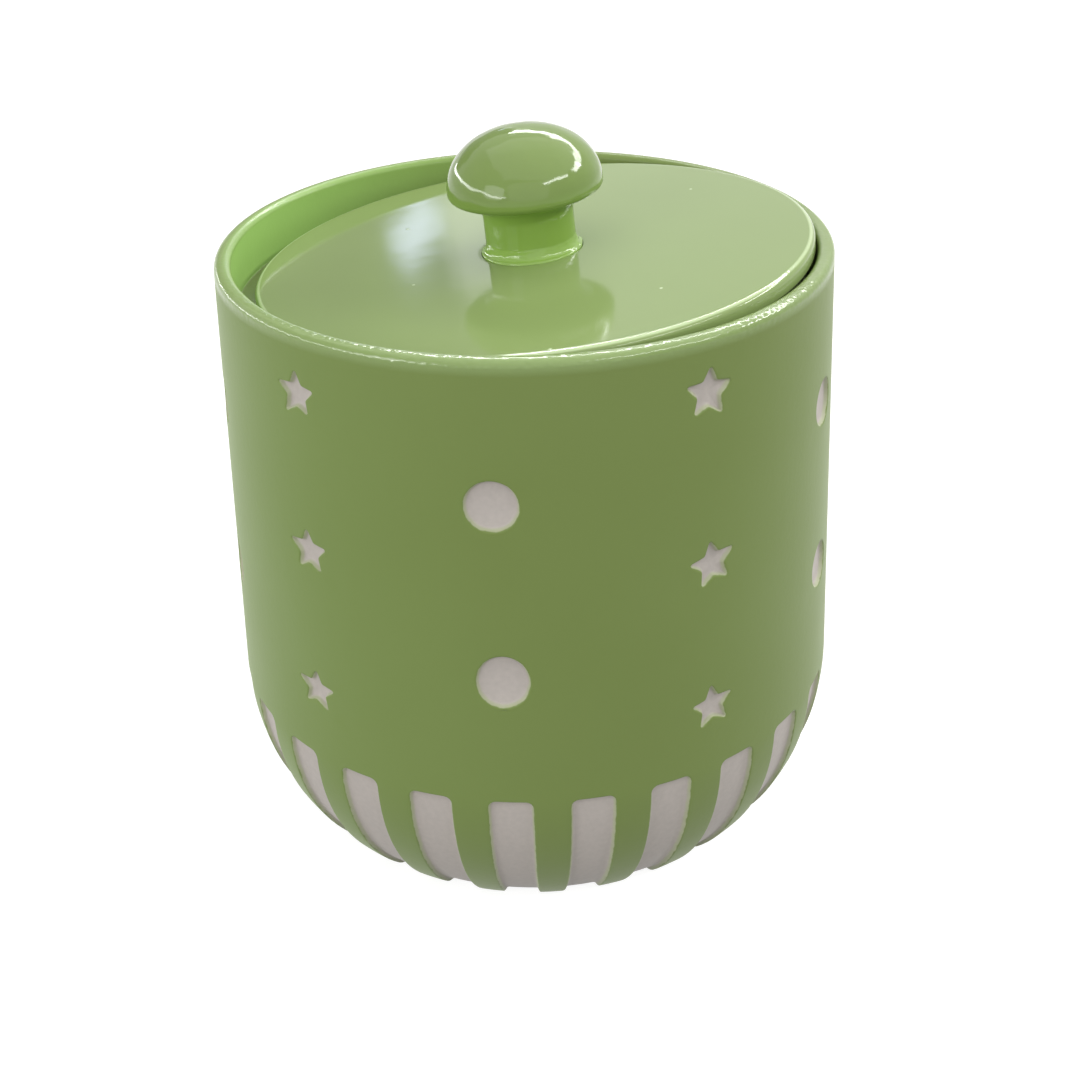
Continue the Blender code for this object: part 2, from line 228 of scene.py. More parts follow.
def whiteFill(tree, where, colour, rough, heights, gloss):
    edge = addNode(tree, "ShaderNodeAttribute", {"attribute_name": "paintEdge"}).outputs["Fac"]
    waver = addNode(tree, "ShaderNodeTexNoise", {
        "Scale": patternScale(whitePaint["waverPitch"]), "Detail": 3.0}, {"Vector": where})
    spread = addNode(tree, "ShaderNodeMath", {"operation": "MULTIPLY_ADD", 1: 2 * whitePaint["edgeWaver"]},
                     {0: waver.outputs["Fac"], 2: edge})
    inside = addNode(tree, "ShaderNodeMapRange", {
        "interpolation_type": "SMOOTHSTEP", "From Min": whitePaint["begin"],
        "From Max": whitePaint["whole"]}, {"Value": spread.outputs[0]})
    deep = addNode(tree, "ShaderNodeMapRange", {
        "interpolation_type": "SMOOTHSTEP", "From Min": whitePaint["thicken"],
        "From Max": whitePaint["thick"]}, {"Value": spread.outputs[0]})
    brush = addNode(tree, "ShaderNodeTexNoise", {
        "Scale": patternScale(whitePaint["brushPitch"]), "Detail": 2.0}, {"Vector": where})
    tone = addNode(tree, "ShaderNodeMix", {"data_type": "RGBA", 6: hexColour(whitePaint["shade"]),
                                           7: hexColour(whitePaint["colour"])}, {0: brush.outputs["Fac"]})
    paint = addNode(tree, "ShaderNodeMix", {"data_type": "RGBA", 6: hexColour(whitePaint["thinColour"])},
                    {0: deep.outputs["Result"], 7: tone.outputs[2]})
    colour = addNode(tree, "ShaderNodeMix", {"data_type": "RGBA"},
                     {0: inside.outputs["Result"], 6: colour, 7: paint.outputs[2]}).outputs[2]
    rough = addNode(tree, "ShaderNodeMix", {3: whitePaint["roughness"]},
                    {0: inside.outputs["Result"], 2: rough}).outputs[0]
    heights = addNode(tree, "ShaderNodeMath", {"operation": "MULTIPLY_ADD", 1: whitePaint["brushRise"]},
                      {0: brush.outputs["Fac"], 2: heights}).outputs[0]
    gloss = addNode(tree, "ShaderNodeMix", {3: 0.0}, {0: inside.outputs["Result"], 2: gloss}).outputs[0]
    return colour, rough, heights, gloss


# Lime lacquer sprayed on a cast resin body: satin, so the wall shows only soft pale bands, with a
# glossy lip. Sizes and pitches in mm, rises in multiples of the orange peel's depth. Two tints are
# painted light: a lighter, greener colour where light falls on the left, inside the mouth and faintly
# outside, and a paler lip at the front as a painted highlight, where the film also beads and is glossier.
bodyLook = {
    "thin": "718348", "deep": "6B7C41", "ior": 1.28, "roughness": 0.45, "coat": 0.06, "coatRoughness": 0.1,
    "filmPatch": 40, "peelPitch": 2.2, "peelDepth": 0.012, "sagPitch": 24, "sagRise": 2.0,
    "nib": "A9BE86", "nibSize": 0.25, "nibSpacing": 16, "nibSpread": "3D", "nibRise": 1.5,
    "paintedLightTint": "8AAF5C", "beadsAndPaintedHighlight": "788F4E", "rimCoat": 0.9, "beadPitch": 0.8, "beadRise": 7.5,
}
# The same lacquer rubbed to a high gloss: the lid mirrors the knob and the room, and the knob's
# thicker film has sagged in waves, so the lines of light on it waver.
lidLook = {
    "thin": "85995F", "deep": "7F9359", "ior": 1.4, "roughness": 0.09, "coat": 0.0, "coatRoughness": 0.03,
    "filmPatch": 30, "peelPitch": 3.5, "peelDepth": 0.004, "sagPitch": 11, "sagRise": 5.0,
    "nib": "B4C893", "nibSize": 0.35, "nibSpacing": 34, "nibSpread": "2D", "nibRise": 4.0,
    # The lid's paler edge tint is a painted highlight along its top edge.
    "paintedLightTint": "85995F", "beadsAndPaintedHighlight": "B0C292", "beadPitch": 0.8, "beadRise": 6.0,
}
# On the knob the neck's greener tint is painted bounce light, and the foot's paler tint a painted highlight.
knobLook = dict(lidLook, thin="758B4A", deep="6F8544", paintedLightTint="7C9C44", beadsAndPaintedHighlight="86A650",
                peelPitch=3.0, peelDepth=0.003, sagPitch=3.5, sagRise=45.0, nibSize=0.3, nibSpread="3D",
                beadPitch=1.0, beadRise=30.0)


jar = {
    "height": 103.8, "rimRadius": 50, "wallFlare": 0.035, "footRadius": 39.8,
    "cornerStart": 29.1, "cornerSweep": 54, "footReach": 1.1,   # mm of wall that the foot rounding takes
    "rimWall": 2.7, "rimOuterRounding": 1.1, "rimInnerRounding": 0.9,
    "ledgeDepth": 8.7, "ledgeWidth": 4.25, "ledgeEdgeRounding": 0.5, "ledgeCornerRounding": 0.25,
    "boreFootRadius": 41.8, "boreRounding": 12, "floor": 7,
    "boreDraft": 0.2, "draftDepth": 14,      # the bore is this much narrower at this depth under the ledge
    "footRing": 34.8, "footRingStep": 0.3, "footHollow": 1.2,
    "innerRing": 20,             # radius of an extra ring on the flat inside and under the foot
    "steps": 300,                # columns round the jar, 12 to a stripe
    "boreSteps": 9, "rimSteps": 5,           # steps in each rounding of the bore, of the rim and ledge
    "cornerSteps": 400,          # steps in which the corner is measured out
    "footSteps": 3, "footStep": 0.75,        # rows of the foot rounding and mm of wall to each
    "recess": 0.8,               # how deep the motifs are sunk
    "paintedLightSide": math.radians(-90),          # the left, where falling light is painted in as a lighter tint
    "paintedLightOutside": 0.12,                    # how much of that painted light shows outside, as a share
    # rows of the mesh: mm below the rim's rounding, mm below the rim between the stars and the
    # stripes, and the number of rows on the corner
    "rimRows": (0.01, 1.3), "plainRows": (68.5, 70.1, 71.6, 72.9), "cornerRows": 16,
}
motifs = {
    "turn": math.radians(-5.2), "columns": 10,   # azimuth of the column in front
    "starRadius": 4.35, "waist": 0.48, "tipRounding": 0.3, "waistRounding": 0.5, "dotRadius": 4.05,
    "leastRounding": 0.05,
    "tipAngle": math.radians(24.7), "waistAngle": math.radians(60.7),     # half the angle at each corner
    "tileHalf": 6, "tileRows": 8,            # columns to each side and rows of mesh that a motif takes
    "spots": 40,                 # vertices round a motif's outline, those round its tile
    # by chance: mm to the side, mm down, degrees of turn, stretch, and reach of a star's tips
    "sideways": 0.8, "upDown": 0.5, "turning": 5, "stretch": (0.96, 1.03), "tipReach": (0.93, 1.05),
}
# mm below the rim, and mm of wall above and below its middle that a motif may take up
motifRows = [
    {"run": 8.87, "star": True, "above": 5.6, "below": 5.6},
    {"run": 22.19, "star": False, "above": 5.9, "below": 5.9},
    {"run": 36.21, "star": True, "above": 5.9, "below": 5.9},
    {"run": 51.61, "star": False, "above": 5.35, "below": 5.35},
    {"run": 61.88, "star": True, "above": 4.85, "below": 5.2},
]
# The motifs were set by hand and sit a little off the grid. Those in front, by column and row:
# mm to the right, mm down, degrees of turn, and how wide and tall against the others.
handSet = {
    (0, 1): (-1.3, 0.15, -2, 1.02, 1.02), (0, 3): (-0.5, 0.35, 0, 1.04, 1.14),
    (1, 0): (0.25, -0.15, -4, 1.06, 1.04), (1, 2): (1.0, 0.65, 7, 1.06, 1.03),
    (1, 4): (1.1, 0.7, 4, 1.02, 0.98), (9, 0): (-1.3, 0.85, 0, 1.0, 0.93),
    (9, 2): (-1.1, -0.45, 2, 1.04, 0.97), (9, 4): (-1.65, -0.6, -2, 1.02, 0.9),
}
# Stripes run down to the foot and narrow with it. Their top is given in mm of wall below the rim.
stripes = {
    "count": 25, "top": 74.2, "topWidth": 7.3, "footWidth": 6.0, "rounding": 1.3,
    "margin": 0.25,              # mm of wall round a stripe that its lip takes in
    "sideColumn": 3,             # columns from a stripe's middle to its edge
    "columnShare": 0.3,          # the inner columns' pitch, as a share of the half width
    "rows": (0, 0.45, 0.9, 1.45, 2.3, 3.4),  # mm down from the lip's upper edge
    "roundRows": 4,              # rows that the rounded upper corners take
    "roundEnd": 2.1,             # mm down, there a stripe's side runs straight
    # mm down: the floor's first rows are gathered between these two, clear of the upper lip
    "floorTop": 1.05, "floorEnd": 3.2, "floorLead": 0.3,
}
# the lip of a sunk motif: mm out from its edge, mm down into the wall
lip = [(0.35, 0.0), (0.12, 0.012), (0.0, 0.07), (-0.1, 0.22), (-0.24, 0.56), (-0.36, 0.72), (-0.62, 0.8)]
# paintEdge holds mm out from a motif's edge, and these two where it is farther than the lip
plainWall, recessFloor = 1.5, -1.5
straight = jar["height"] - jar["cornerStart"]    # mm of the jar's height down to the rounded corner
belly = jar["rimRadius"] + jar["wallFlare"] * straight
perStripe = jar["steps"] // stripes["count"]     # columns from one stripe's middle to the next


def wallPath():  # down the outside: (distance, land point, floor point of a recess)
    sweep = math.radians(jar["cornerSweep"])
    width = (belly - jar["footRadius"]) / (1 - math.cos(sweep))
    rise = jar["cornerStart"] / math.sin(sweep)
    slope = Vector((1, jar["wallFlare"])).normalized()
    path = []
    for down in (0, straight):
        land = Vector((jar["rimRadius"] + jar["wallFlare"] * down, jar["height"] - down))
        path.append((down, land, land - slope * jar["recess"]))
    run, last = straight, path[-1][1]
    for k in range(1, jar["cornerSteps"] + 1):
        turn = sweep * k / jar["cornerSteps"]
        land = Vector((belly - width * (1 - math.cos(turn)), jar["cornerStart"] - rise * math.sin(turn)))
        normal = Vector((math.cos(turn) / width, -math.sin(turn) / rise)).normalized()
        run += (land - last).length
        last = land
        path.append((run, land, land - normal * jar["recess"]))
    corner = path[-1][1]
    path = [spot for spot in path if spot[0] <= run - jar["footReach"]]
    begin, start, floorStart = path[-1]
    end = corner - Vector((jar["footReach"], 0))
    steep = (floorStart - path[-2][2]).normalized()
    floorEnd = floorStart + steep * (floorStart.y / -steep.y)
    for k in range(1, jar["footSteps"] + 1):  # rounded on the lands, run out straight in the recesses
        t = k / jar["footSteps"]
        land = start * (1 - t) ** 2 + corner * 2 * t * (1 - t) + end * t * t
        path.append((begin + jar["footStep"] * k, land, floorStart.lerp(floorEnd, t)))
    return path


path = wallPath()
pathRuns = [spot[0] for spot in path]


def wallSection(run):  # land and floor points (radius, height) at a distance down the wall
    k = min(max(bisect.bisect_right(pathRuns, run), 1), len(path) - 1)
    t = (run - pathRuns[k - 1]) / (pathRuns[k] - pathRuns[k - 1])
    return path[k - 1][1].lerp(path[k][1], t), path[k - 1][2].lerp(path[k][2], t)


def wallPoint(azimuth, across, run, depth=0.0):
    land, floor = wallSection(run)
    spot = land.lerp(floor, depth / jar["recess"])
    return outward(azimuth + across / land.x, spot.x, spot.y)


def wallRuns():  # distances of the mesh's rows down the wall, with those where tiles start
    runs, tiles = [jar["rimOuterRounding"] + down for down in jar["rimRows"]], []
    half = motifs["tileRows"] // 2
    for line in motifRows:
        tiles.append(len(runs))
        runs += [line["run"] + line["above" if k < 0 else "below"] * k / half for k in range(-half, half + 1)]
    runs += jar["plainRows"]
    stripeRow = len(runs)
    runs += [stripes["top"] - stripes["margin"] + down for down in stripes["rows"]]
    last, footRun, count = runs[-1], pathRuns[-1 - jar["footSteps"]], jar["cornerRows"]
    runs += [last + (footRun - last) * k / count for k in range(1, count + 1)]
    runs += pathRuns[-jar["footSteps"]:]
    return runs, tiles, stripeRow


def insideOutline():  # from the middle of the inner floor up to the rim's outer rounding
    mouth = jar["rimRadius"] - jar["rimWall"]
    ledge = mouth - jar["ledgeWidth"]
    ledgeHeight = jar["height"] - jar["ledgeDepth"]
    upper = softCorners([(0, jar["floor"], 0), (jar["innerRing"], jar["floor"], 0),
                         (jar["boreFootRadius"], jar["floor"], jar["boreRounding"]),
                         (ledge - jar["boreDraft"], ledgeHeight - jar["draftDepth"], 0),
                         (ledge, ledgeHeight, 0)], jar["boreSteps"])[:-1]
    rim = softCorners([(upper[-1].x, upper[-1].y, 0), (ledge, ledgeHeight, jar["ledgeEdgeRounding"]),
                       (mouth, ledgeHeight, jar["ledgeCornerRounding"]),
                       (mouth, jar["height"], jar["rimInnerRounding"]),
                       (jar["rimRadius"], jar["height"], jar["rimOuterRounding"]),
                       (belly, jar["cornerStart"], 0)], jar["rimSteps"])
    return upper + rim[1:-1]


def stripeHalf(run):  # half width of a stripe at a distance down the wall
    top, foot = wallSection(stripes["top"])[0].x, jar["footRadius"]
    share = (max(wallSection(run)[0].x, foot) - foot) / (top - foot)
    return (stripes["footWidth"] + (stripes["topWidth"] - stripes["footWidth"]) * min(share, 1)) / 2


def stripePlace(column):  # columns to the right of the nearest stripe's middle, from -5 to 6
    return (column + perStripe // 2 - 1) % perStripe - perStripe // 2 + 1


def stripeAzimuth(column):  # of the nearest stripe's middle
    return motifs["turn"] + (column - stripePlace(column)) * 2 * math.pi / jar["steps"]


def columnAzimuth(column, run):  # columns gather at the stripes' edges
    place = stripePlace(column)
    run = max(run, stripes["top"])
    edge = (stripeHalf(run) + stripes["margin"]) / wallSection(run)[0].x
    between = math.pi / stripes["count"] - edge
    plainColumns = perStripe // 2 - stripes["sideColumn"]
    ladder = [k * stripes["columnShare"] * edge for k in range(stripes["sideColumn"])]
    ladder += [edge + between * k / plainColumns for k in range(plainColumns + 1)]
    return stripeAzimuth(column) + math.copysign(ladder[abs(place)], place)


# one of 40 points round a star, 4 to each of its 10 corners, moved out by so many mm
def starSpot(index, out, tips):
    radius, waist = motifs["starRadius"], motifs["starRadius"] * motifs["waist"]
    corner = index // 4
    tipAngle, waistAngle = motifs["tipAngle"], motifs["waistAngle"]
    tipSoft = max(motifs["leastRounding"], motifs["tipRounding"] + out)
    waistSoft = max(motifs["leastRounding"], motifs["waistRounding"] - out)

    def cornerSpot(k):
        k %= 10
        if k % 2:
            reach = waist + out / math.sin(waistAngle)
        else:
            reach = tips[k // 2] * radius + out / math.sin(tipAngle)
        return Vector((math.sin(math.pi * k / 5), math.cos(math.pi * k / 5))) * reach

    step = index % 4
    here, following = cornerSpot(corner), cornerSpot(corner + 1)
    if step == 0 and corner % 2 == 0:
        return here * (1 - tipSoft * (1 / math.sin(tipAngle) - 1) / here.length)
    if step == 0:
        return here * (1 + waistSoft * (1 / math.sin(waistAngle) - 1) / here.length)
    along = (following - here).normalized()
    tipReach, waistReach = tipSoft / math.tan(tipAngle), waistSoft / math.tan(waistAngle)
    first, last = (tipReach, waistReach) if corner % 2 == 0 else (waistReach, tipReach)
    start, end = here + along * first, following - along * last
    return start.lerp(end, (step - 1) / 2)


def dotSpot(index, out):
    angle = 2 * math.pi * index / motifs["spots"]
    return Vector((math.sin(angle), math.cos(angle))) * (motifs["dotRadius"] + out)


def sinkMotifs(bm, row, column, edge, tiles):
    spot = bm.verts.layers.int.new("spot")      # place round the motif's outline, 0 at the top
    number = bm.verts.layers.int.new("motif")
    half, rows, steps, quarter = motifs["tileHalf"], motifs["tileRows"], jar["steps"], motifs["spots"] // 4
    made = []
    for side in range(motifs["columns"]):
        azimuth = motifs["turn"] + 2 * math.pi * side / motifs["columns"]
        for level, (firstRow, line) in enumerate(zip(tiles, motifRows)):
            if line["star"] != bool(side % 2):
                continue
            byChance = (chance.uniform(-motifs["sideways"], motifs["sideways"]),
                        chance.uniform(-motifs["upDown"], motifs["upDown"]),
                        chance.uniform(-motifs["turning"], motifs["turning"]),
                        chance.uniform(*motifs["stretch"]), chance.uniform(*motifs["stretch"]))
            across, down, spin, wide, tall = handSet.get((side, level), byChance)
            made.append({"azimuth": azimuth, "across": across, "run": line["run"] + down,
                         "star": line["star"], "row": firstRow, "column": side * steps // motifs["columns"],
                         "spin": math.radians(spin), "wide": wide, "tall": tall,
                         "tips": [chance.uniform(*motifs["tipReach"]) for k in range(5)]})
    lookup = {}
    for k, motif in enumerate(made):            # each tile of the wall becomes one face
        motif["faces"] = []
        for across in range(-half, half):
            for down in range(rows):
                lookup[((motif["column"] + across) % steps, motif["row"] + down)] = k
    for face in bm.faces:
        faceRows = [vert[row] for vert in face.verts]
        if max(faceRows) - min(faceRows) != 1:
            continue
        columns = sorted(set(vert[column] for vert in face.verts))
        left = columns[-1] if columns[-1] - columns[0] > 1 else columns[0]   # the last column meets the first
        k = lookup.get((left, min(faceRows)))
        if k is not None:
            made[k]["faces"].append(face)
    plates = []
    for k, motif in enumerate(made):
        plate = bmesh.ops.dissolve_faces(bm, faces=motif["faces"], use_verts=False)["region"][0]
        for vert in plate.verts:
            across = (vert[column] - motif["column"] + steps // 2) % steps - steps // 2
            down = vert[row] - motif["row"] - rows // 2
            if down == -rows // 2:
                place = across
            elif across == half:
                place = quarter + down
            elif down == rows // 2:
                place = 2 * quarter - across
            else:
                place = 3 * quarter - down
            vert[spot], vert[number] = place % motifs["spots"], k
        plates.append(plate)
    for level, (out, depth) in enumerate(lip[:1] + lip):
        bmesh.ops.inset_individual(bm, faces=plates, thickness=0.0, depth=0.0)
        for plate in plates:
            for vert in plate.verts:
                motif = made[vert[number]]
                star = motif["star"]
                flat = starSpot(vert[spot], out, motif["tips"]) if star else dotSpot(vert[spot], out)
                flat = Matrix.Rotation(motif["spin"], 2) @ flat
                spotCo = wallPoint(motif["azimuth"], motif["across"] + flat.x * motif["wide"],
                                   motif["run"] - flat.y * motif["tall"], depth)
                vert.co = spotCo if level else spotCo.lerp(vert.co, 0.5)   # first a ring half way out
                vert[edge] = out if level else plainWall
    middles = bmesh.ops.poke(bm, faces=plates)["verts"]
    for vert in middles:
        motif = made[vert.link_edges[0].other_vert(vert)[number]]
        vert.co = wallPoint(motif["azimuth"], motif["across"], motif["run"], jar["recess"])
        vert[edge] = recessFloor


def stripeSpot(place, row, runs, stripeRow, out):  # a point of a stripe's outline, moved out by mm
    down = row - stripeRow
    rounding, roundRows = stripes["rounding"], stripes["roundRows"]
    side = math.copysign(1, place)
    if abs(place) == stripes["sideColumn"] and down > roundRows:
        return side * (stripeHalf(runs[row]) + out), runs[row]
    if down == 0 and abs(place) < 2:
        return place * stripes["columnShare"] * stripeHalf(stripes["top"]), stripes["top"] - out
    order = down + abs(place) - 2               # round the upper corner from its inner end, 0 to 5
    half = stripeHalf(stripes["top"])
    if order > roundRows:
        return side * (half + out), stripes["top"] + stripes["roundEnd"]
    turn = math.pi / 2 * order / roundRows
    soft = rounding + out
    return (side * (half - rounding + soft * math.sin(turn)),
            stripes["top"] + rounding - soft * math.cos(turn))


def sinkStripes(bm, row, column, edge, runs, stripeRow, firstRow):
    edgeColumn = stripes["sideColumn"]
    faces = [face for face in bm.faces
             if all(vert[row] >= stripeRow + firstRow and abs(stripePlace(vert[column])) <= edgeColumn
                    for vert in face.verts)]
    for level, (out, depth) in enumerate([(stripes["margin"], 0.0)] + lip[1:]):
        if level:
            bmesh.ops.inset_region(bm, faces=faces, thickness=0.0, depth=0.0, use_boundary=False)
        inner = set(vert for face in faces for vert in face.verts)
        for vert in inner:
            here, place = vert[row] - firstRow, stripePlace(vert[column])
            if abs(place) == edgeColumn or here == stripeRow:
                across, run = stripeSpot(place, here, runs, stripeRow, out)
                vert.co = wallPoint(stripeAzimuth(vert[column]), across, run, depth)
                vert[edge] = out
    floorTop, floorEnd, lead = stripes["floorTop"], stripes["floorEnd"], stripes["floorLead"]
    for vert in inner:                          # the floor between the stripe's lips
        here, place = vert[row] - firstRow, stripePlace(vert[column])
        if abs(place) < edgeColumn and here > stripeRow:
            run = runs[here]
            down = run - stripes["top"]
            if down < floorEnd:
                run = stripes["top"] + floorTop + (down + lead) * (floorEnd - floorTop) / (floorEnd + lead)
            across = place * stripes["columnShare"] * stripeHalf(run)
            vert.co = wallPoint(stripeAzimuth(vert[column]), across, run, jar["recess"])
            vert[edge] = recessFloor


def closeFoot(bm, edge):  # the foot ring, then the hollow inside it up to the middle
    ring, hollow, inner = jar["footRing"], jar["footHollow"], jar["innerRing"]
    foot = set(vert for vert in bm.verts if vert.co.z < hollow and vert.co.xy.length > inner)
    rims = [rim for rim in bm.edges if rim.is_boundary and foot.issuperset(rim.verts)]
    turns = ((ring + jar["footRingStep"], 0), (ring - hollow, hollow), (inner, hollow), (0, hollow))
    for radius, height in turns:
        made = bmesh.ops.extrude_edge_only(bm, edges=rims)["geom"]
        rims = [part for part in made if isinstance(part, bmesh.types.BMEdge)]
        for vert in set(vert for rim in rims for vert in rim.verts):
            flat = vert.co.xy.normalized() * radius if radius else Vector((0, 0))
            vert.co = (flat.x, flat.y, height)
            vert[edge] = plainWall


def jarBody():
    runs, tiles, stripeRow = wallRuns()
    inside = insideOutline()
    firstRow = len(inside)
    arcRows = jar["rimSteps"] + 1
    outerArc, innerArc = firstRow - arcRows, firstRow - 2 * arcRows      # where the rim's roundings start
    ledgeArc = firstRow - 3 * arcRows
    outline = inside + [wallSection(run)[0] for run in runs]
    bm = spunOutline(outline, jar["steps"])
    bmesh.ops.remove_doubles(bm, verts=bm.verts[:], dist=weldReach)
    row = bm.verts.layers.int["row"]
    column = bm.verts.layers.int.new("column")
    edge = bm.verts.layers.float.new("paintEdge")
    paintedLight = bm.verts.layers.float.new("paintedLightTint")
    beadsAndHighlight = bm.verts.layers.float.new("beadsAndPaintedHighlight")
    for vert in bm.verts:
        azimuth = math.atan2(vert.co.x, -vert.co.y) % (2 * math.pi)
        vert[column] = round(azimuth / (2 * math.pi) * jar["steps"]) % jar["steps"]
        vert[edge] = plainWall
        # painted light: inside over the ledge, and faintly outside, lighter and greener on the left where
        # light falls; a painted highlight round the lip, fading towards the back
        leftShare = max(math.cos(azimuth - jar["paintedLightSide"]), 0)
        overLedge = ledgeArc + arcRows // 2 <= vert[row] < outerArc      # inside, up to the rim's top
        outside = jar["paintedLightOutside"] * (vert[row] >= outerArc)
        vert[paintedLight] = leftShare * (1.0 if overLedge else outside)
        frontShare = 0.5 + 0.5 * math.cos(azimuth)
        vert[beadsAndHighlight] = frontShare * (innerArc < vert[row] <= firstRow)    # round the lip
        radius = vert.co.xy.length
        if radius > weldReach:                  # the middle of the inner floor stays
            run = runs[vert[row] - firstRow] if vert[row] >= firstRow else 0
            vert.co = outward(columnAzimuth(vert[column], run), radius, vert.co.z)
    print("jar: wall turned,", len(bm.faces), "faces")
    sinkMotifs(bm, row, column, edge, [tile + firstRow for tile in tiles])
    print("jar: stars and dots sunk,", len(bm.faces), "faces")
    sinkStripes(bm, row, column, edge, runs, stripeRow, firstRow)
    print("jar: stripes sunk,", len(bm.faces), "faces")
    closeFoot(bm, edge)
    finishPiece("jarBody", bm, lacquerFinish("satinLimeLacquerOnCastResin", bodyLook, painted=True),
                "jar", "jar_body")


lid = {
    "radius": 45.6, "thickness": 3.0, "topRounding": 1.0, "underRounding": 0.5,
    "ringRadius": 42.25, "ringWidth": 3.0, "ringHeight": 4.7, "ringRounding": 0.6, "ringRootRounding": 0.2,
    "seatRadius": 8.31, "seatDepth": 0.8, "seatRounding": 0.12, "holeRadius": 3.5, "steps": 240,
    "flatMargin": 0.8,                       # mm over which the flat top eases into its edges
    "beadsAndHighlightWidth": 0.9, "beadsAndHighlightDrop": 0.2,     # mm in from the edge and down: a pale ring painted as a highlight, where the film beads
    "middle": (1.340, -0.188, 102.254),      # mm, the middle of its top as it lies in the mouth
    "tilt": math.radians(4.9156), "uphill": math.radians(82),    # azimuth of its high edge
}


def lidPlace():
    axis = outward(lid["uphill"]).cross(Vector((0, 0, 1)))
    return Matrix.Translation(Vector(lid["middle"]) * millimetre) @ Matrix.Rotation(lid["tilt"], 4, axis)


def lidDisc():
    under, seatFloor, ringFoot = -lid["thickness"], -lid["seatDepth"], -lid["thickness"] - lid["ringHeight"]
    hole, seat, radius, ring = lid["holeRadius"], lid["seatRadius"], lid["radius"], lid["ringRadius"]
    inner, soft = ring - lid["ringWidth"], lid["ringRounding"]
    outline = softCorners([
        (hole, under, 0), (hole, seatFloor, 0), (seat, seatFloor, 0), (seat, 0, lid["seatRounding"]),
        (seat + lid["flatMargin"], 0, 0), (radius - lid["topRounding"] - lid["flatMargin"], 0, 0),
        (radius, 0, lid["topRounding"]), (radius, under, lid["underRounding"]),
        (ring, under, lid["ringRootRounding"]), (ring, ringFoot, soft), (inner, ringFoot, soft),
        (inner, under, soft), (hole, under, 0)], steps=6)
    bm = spunOutline(outline, lid["steps"])
    beadsAndHighlight = bm.verts.layers.float.new("beadsAndPaintedHighlight")
    # a pale ring painted as a highlight along the top edge, where the film also beads
    for vert in bm.verts:
        vert[beadsAndHighlight] = float(vert.co.xy.length > radius - lid["beadsAndHighlightWidth"] and vert.co.z > -lid["beadsAndHighlightDrop"])
    finishPiece("lidDisc", bm, lacquerFinish("highGlossLimeLacquerOnLid", lidLook),
                "lid", "lid", lidPlace())


knob = {
    "height": 20.1, "capRadius": 12.6, "capEdge": 10.5, "fullness": 2.1, "lipWidth": 2.5, "lipDrop": 1.4,
    "neckRadius": 7.35, "neckTop": 5.9, "flareWidth": 0.9, "flareHeight": 1.9, "base": 0.3,
    "seated": 0.5, "spigotRadius": 3.2, "spigotDepth": 3.0, "steps": 160,
    "paintedLightTop": 12.0, "beadsAndHighlightTop": 2.1,       # mm up: below the first the neck is painted greener as bounce light from the lid, below the second the foot is painted paler as a highlight and beads
}


def mushroomKnob():
    lipCentre = knob["capRadius"] - knob["lipWidth"]
    neckHeight = knob["capEdge"] - knob["lipDrop"] - knob["neckTop"]
    flareTop, flareRadius = knob["base"] + knob["flareHeight"], knob["neckRadius"] + knob["flareWidth"]
    foot, spigotFoot = -knob["seated"], -knob["spigotDepth"]
    outline = ellipseArc(0, knob["capEdge"], knob["capRadius"], knob["height"] - knob["capEdge"], 90, 0,
                         steps=30, fullness=knob["fullness"])
    outline += ellipseArc(lipCentre, knob["capEdge"], knob["lipWidth"], knob["lipDrop"], 0, -90,
                          steps=10)[1:]
    outline += ellipseArc(lipCentre, knob["neckTop"], lipCentre - knob["neckRadius"], neckHeight, 90, 180,
                          steps=12)[1:]
    outline += ellipseArc(flareRadius, flareTop, knob["flareWidth"], knob["flareHeight"], 180, 270, steps=8)
    outline += [Vector((flareRadius, foot)), Vector((knob["spigotRadius"], foot)),
                Vector((knob["spigotRadius"], spigotFoot)), Vector((0, spigotFoot))]
    bm = spunOutline(outline, knob["steps"])
    paintedLight = bm.verts.layers.float.new("paintedLightTint")
    beadsAndHighlight = bm.verts.layers.float.new("beadsAndPaintedHighlight")
    # the neck is painted greener as bounce light from the lid, and the foot paler as a painted highlight,
    # where the film also beads
    for vert in bm.verts:
        vert[paintedLight] = min(max((knob["paintedLightTop"] - vert.co.z) / (knob["capEdge"] - knob["neckTop"]), 0), 1)
        vert[beadsAndHighlight] = float(vert.co.z < knob["beadsAndHighlightTop"])
    finishPiece("mushroomKnob", bm, lacquerFinish("highGlossLimeLacquerOnKnob", knobLook),
                "lid", "knob", lidPlace())


room = {
    "floor": "8E8E8C", "floorSize": 3.0, "floorSides": 64,
    "world": "FFFFFF", "worldLight": 0.3,
    "whiteLift": 0.88,           # how far the lit floor is lifted towards white where it is looked at
    "aim": (0, 0, 0.08),         # metres, where all lamps point
}


def shareSeen(tree):  # 1 where a thing is looked at, straight, mirrored or through glass, else 0
    rays = addNode(tree, "ShaderNodeLightPath")
    seen = rays.outputs["Is Camera Ray"]
    for kind in ("Is Glossy Ray", "Is Transmission Ray"):
        both = addNode(tree, "ShaderNodeMath", {"operation": "MAXIMUM"}, {0: seen, 1: rays.outputs[kind]})
        seen = both.outputs[0]
    return seen


